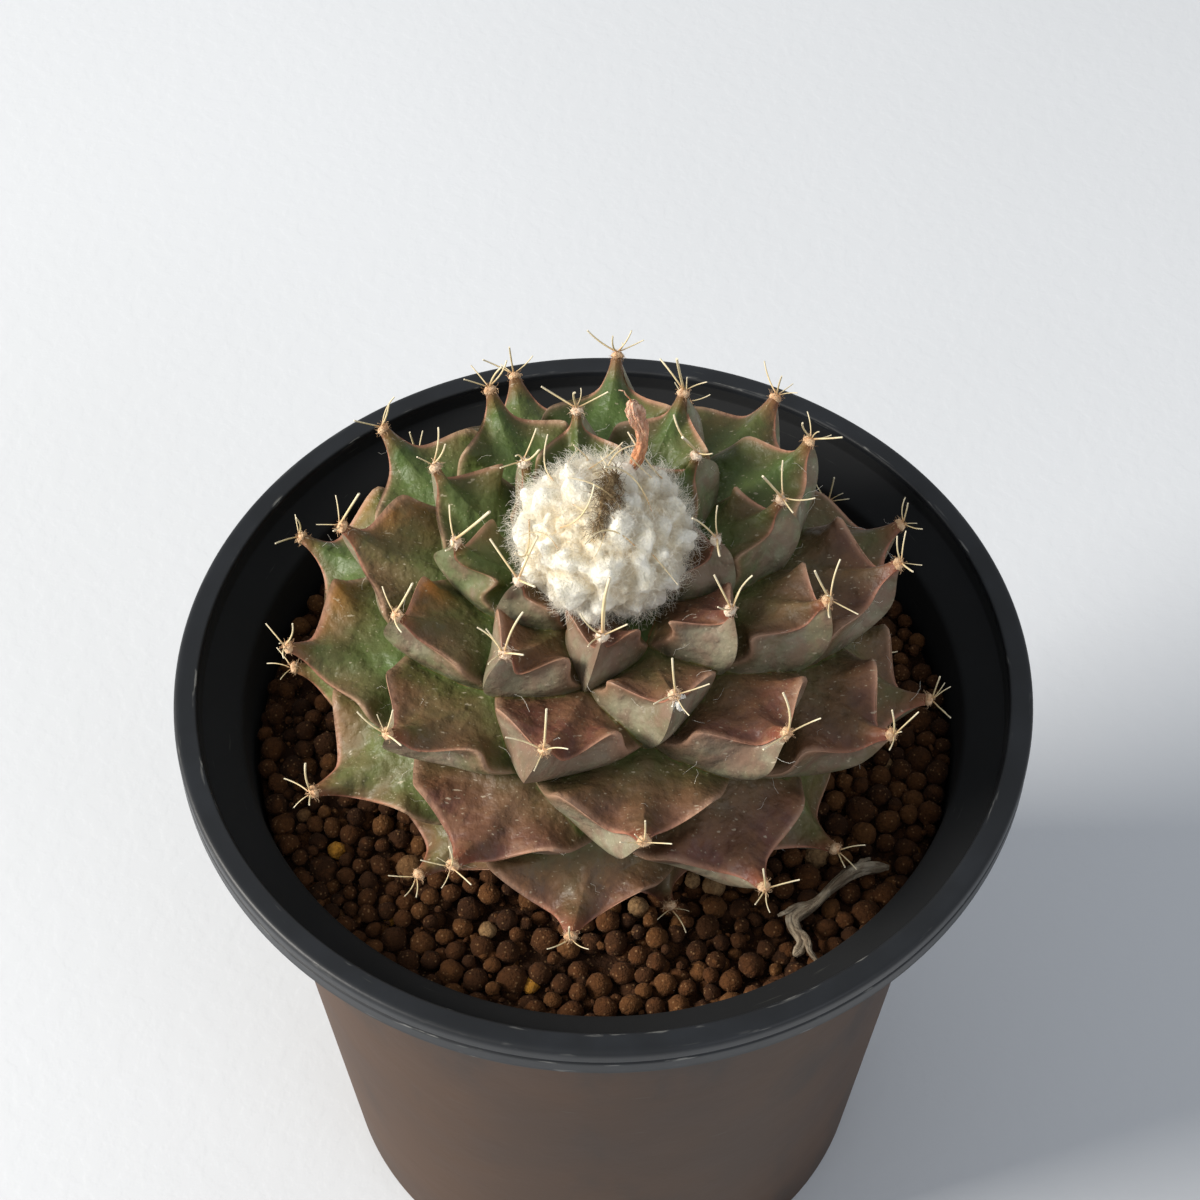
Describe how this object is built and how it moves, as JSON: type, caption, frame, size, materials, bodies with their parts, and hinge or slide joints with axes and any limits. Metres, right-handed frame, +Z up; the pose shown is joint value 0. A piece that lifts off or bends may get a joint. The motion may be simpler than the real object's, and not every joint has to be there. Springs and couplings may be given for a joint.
{
  "type": "potted round cactus",
  "caption": "Round cactus with leaf-like pointed tubercles, spines and a woolly white crown, in a tapered black nursery pot of baked-clay pellets.",
  "frame": {"origin": "centre of the ring that the pot stands on", "axes": "+Z up along the pot's axis, -Y towards the side the reference view looks from"},
  "size_m": [0.128, 0.128, 0.1674],
  "materials": {
    "pot_plastic": "black moulded polypropylene, satin, with pale scuffs on its edges",
    "baked_clay": "round pellets of baked brown clay, matt and dusty",
    "cactus_skin": "waxy living skin, olive green to purple brown, tan to red along the ridges",
    "crown_wool": "tangled cream plant wool",
    "spine": "straw-coloured spines on felted pads",
    "dry_fluff": "withered brown flower remains",
    "dry_petal": "dry papery flower tube, orange to pink brown",
    "dry_twig": "grey dry stalk with peeling bark"
  },
  "bodies": {
    "root": {"pot": "pot_plastic", "substrate": "baked_clay", "cactus_stem": "cactus_skin", "wool_crown": "crown_wool", "withered_flower": "dry_fluff", "dry_flower_tube": "dry_petal", "dry_twig": "dry_twig", "areole_00": "spine", "areole_01": "spine", "areole_02": "spine", "areole_03": "spine", "areole_04": "spine", "areole_05": "spine", "areole_06": "spine", "areole_07": "spine", "areole_08": "spine", "areole_09": "spine", "areole_10": "spine", "areole_11": "spine", "areole_12": "spine", "areole_13": "spine", "areole_14": "spine", "areole_15": "spine", "areole_16": "spine", "areole_17": "spine", "areole_18": "spine", "areole_19": "spine", "areole_20": "spine", "areole_21": "spine", "areole_22": "spine", "areole_23": "spine", "areole_24": "spine", "areole_25": "spine", "areole_26": "spine", "areole_27": "spine", "areole_28": "spine", "areole_29": "spine", "areole_30": "spine", "areole_31": "spine", "areole_32": "spine", "areole_33": "spine", "areole_34": "spine", "areole_35": "spine", "areole_36": "spine", "areole_37": "spine", "areole_38": "spine", "areole_39": "spine", "areole_40": "spine", "areole_41": "spine", "areole_42": "spine", "areole_43": "spine", "areole_44": "spine", "areole_45": "spine", "areole_46": "spine", "areole_47": "spine", "areole_48": "spine", "areole_49": "spine", "areole_50": "spine"}
  },
  "joints": []
}
